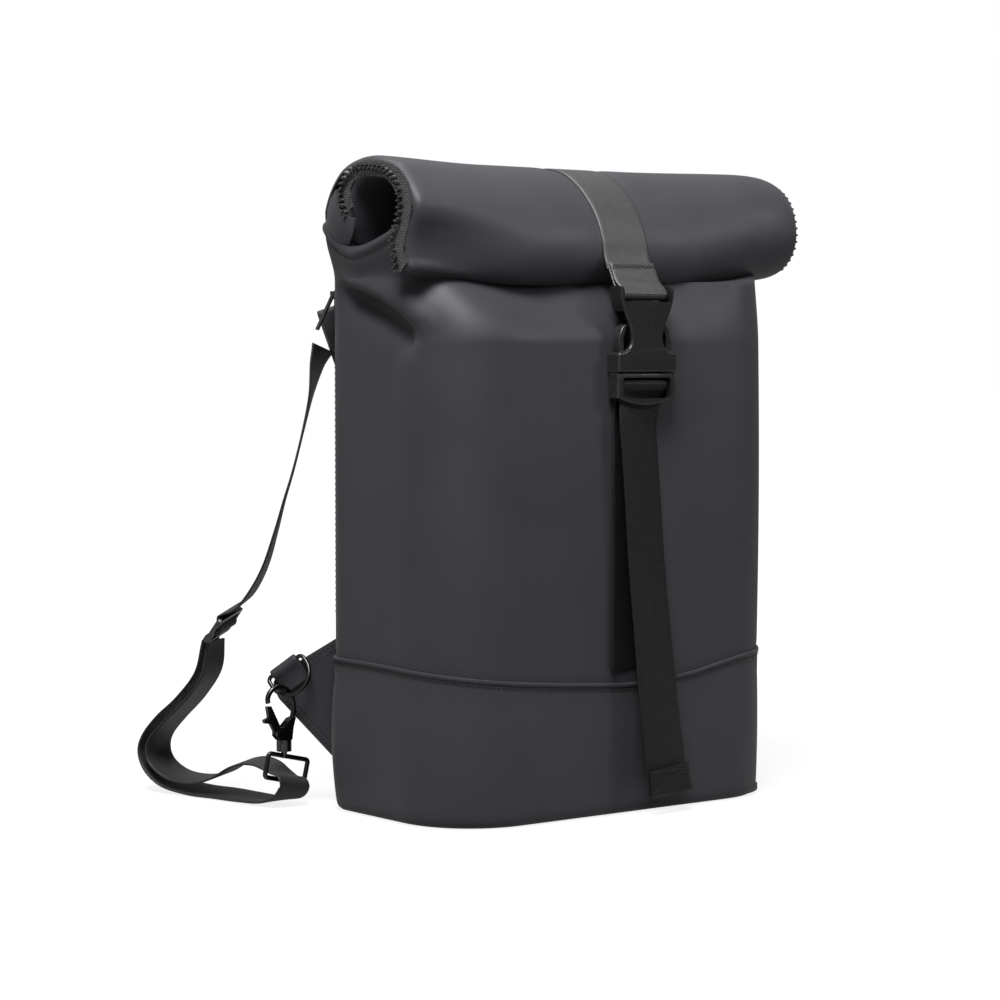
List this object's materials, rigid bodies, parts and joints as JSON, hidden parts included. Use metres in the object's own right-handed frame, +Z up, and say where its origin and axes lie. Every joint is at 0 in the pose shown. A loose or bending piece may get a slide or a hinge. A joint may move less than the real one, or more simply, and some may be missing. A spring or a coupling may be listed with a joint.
{
  "type": "roll-top backpack",
  "caption": "Roll-top backpack in matte coated leather, closed by a webbing strap with a side-release buckle, with shoulder straps hooked to side rings.",
  "frame": {"origin": "on the ground, in the middle of the underside of the base sheet", "axes": "+X to the right seen from the front, +Y towards the wearer's back, +Z up"},
  "size_m": [0.4116, 0.3049, 0.4214],
  "materials": {
    "body_leather": "matte coated, fine grain",
    "roll_leather": "matte coated, supple",
    "band_leather": "matte coated, fine grain",
    "black_webbing": "flat woven nylon",
    "lining_cloth": "plain woven",
    "padding": "padded mesh",
    "stiffener": "plain sheet",
    "buckle_plastic": "satin moulded",
    "zip_tape": "woven tape",
    "zip_metal": "dark polished",
    "gunmetal": "dark plated, glossy"
  },
  "bodies": {
    "bag": {"base_sheet": "band_leather", "base_board": "stiffener", "base_band": "band_leather", "front_panel": "body_leather", "back_panel": "body_leather", "back_pad": "padding", "lining": "lining_cloth", "laptop_sleeve": "padding", "neck": "roll_leather", "roll_top": "roll_leather", "roll_zip_left": "zip_metal", "roll_zip_right": "zip_metal", "side_zip_tape_left": "zip_tape", "side_zip_tape_right": "zip_tape", "side_zip_teeth_left": "zip_metal", "side_zip_teeth_right": "zip_metal", "closing_strap": "black_webbing", "buckle_plug": "buckle_plastic", "adjusting_strap": "black_webbing", "shoulder_yoke_left": "body_leather", "shoulder_yoke_right": "body_leather", "shoulder_strap_left": "black_webbing", "shoulder_strap_right": "black_webbing", "strap_loop_left": "black_webbing", "strap_loop_right": "black_webbing", "tri_glide_left": "gunmetal", "tri_glide_right": "gunmetal", "side_tab_left": "body_leather", "side_tab_right": "body_leather", "ring_sleeve_left": "body_leather", "ring_sleeve_right": "body_leather", "hook_eye_left": "gunmetal", "hook_eye_right": "gunmetal", "haul_loop": "black_webbing"},
    "buckle_body": {"buckle_socket": "buckle_plastic", "buckle_loop": "black_webbing"},
    "slider_left": {"zip_slider_left": "gunmetal"},
    "pull_left": {"zip_pull_left": "gunmetal"},
    "prong_left": {"buckle_prong_left": "buckle_plastic"},
    "ring_left": {"d_ring_left": "gunmetal"},
    "hook_left": {"snap_hook_left": "gunmetal"},
    "gate_left": {"hook_gate_left": "gunmetal"},
    "slider_right": {"zip_slider_right": "gunmetal"},
    "pull_right": {"zip_pull_right": "gunmetal"},
    "prong_right": {"buckle_prong_right": "buckle_plastic"},
    "ring_right": {"d_ring_right": "gunmetal"},
    "hook_right": {"snap_hook_right": "gunmetal"},
    "gate_right": {"hook_gate_right": "gunmetal"}
  },
  "joints": [
    {"name": "zip_run_left", "type": "slide", "parent": "bag", "child": "slider_left", "axis": [0, 0, 1], "range_m": [-0.19, 0]},
    {"name": "pull_swing_left", "type": "hinge", "parent": "slider_left", "child": "pull_left", "pos_m": [-0.14024, 0.06724, 0.337], "axis": [0.7071, 0.7071, 0], "range_deg": [-20, 110]},
    {"name": "prong_flex_left", "type": "hinge", "parent": "bag", "child": "prong_left", "pos_m": [-0.016, -0.079, 0.285], "axis": [0, 1, 0], "range_deg": [0, 6], "stiffness_Nm_per_rad": 0.08},
    {"name": "ring_swing_left", "type": "hinge", "parent": "bag", "child": "ring_left", "pos_m": [-0.15908, 0.09734, 0.0919], "axis": [0.6128, -0.5142, 0.6], "range_deg": [-3, 2]},
    {"name": "hook_swivel_left", "type": "hinge", "parent": "bag", "child": "hook_left", "pos_m": [-0.164, 0.091, 0.03989], "axis": [0, 0, 1], "range_deg": [-12, 12]},
    {"name": "gate_open_left", "type": "hinge", "parent": "hook_left", "child": "gate_left", "pos_m": [-0.169, 0.091, 0.0494], "axis": [0, 1, 0], "range_deg": [0, 20], "stiffness_Nm_per_rad": 0.05},
    {"name": "zip_run_right", "type": "slide", "parent": "bag", "child": "slider_right", "axis": [0, 0, 1], "range_m": [-0.19, 0]},
    {"name": "pull_swing_right", "type": "hinge", "parent": "slider_right", "child": "pull_right", "pos_m": [0.14024, 0.06724, 0.337], "axis": [0.7071, -0.7071, 0], "range_deg": [-20, 110]},
    {"name": "prong_flex_right", "type": "hinge", "parent": "bag", "child": "prong_right", "pos_m": [0.016, -0.079, 0.285], "axis": [0, -1, 0], "range_deg": [0, 6], "stiffness_Nm_per_rad": 0.08},
    {"name": "ring_swing_right", "type": "hinge", "parent": "bag", "child": "ring_right", "pos_m": [0.15908, 0.09734, 0.0919], "axis": [0.6128, 0.5142, -0.6], "range_deg": [-3, 2]},
    {"name": "hook_swivel_right", "type": "hinge", "parent": "bag", "child": "hook_right", "pos_m": [0.164, 0.091, 0.03989], "axis": [0, 0, -1], "range_deg": [-12, 12]},
    {"name": "gate_open_right", "type": "hinge", "parent": "hook_right", "child": "gate_right", "pos_m": [0.169, 0.091, 0.0494], "axis": [0, -1, 0], "range_deg": [0, 20], "stiffness_Nm_per_rad": 0.05},
    {"name": "buckle_release", "type": "slide", "parent": "bag", "child": "buckle_body", "axis": [0, 0, 1], "range_m": [0, 0.024]}
  ],
  "couplings": [
    {"joint": "prong_flex_right", "follows": "prong_flex_left", "ratio": 1}
  ]
}
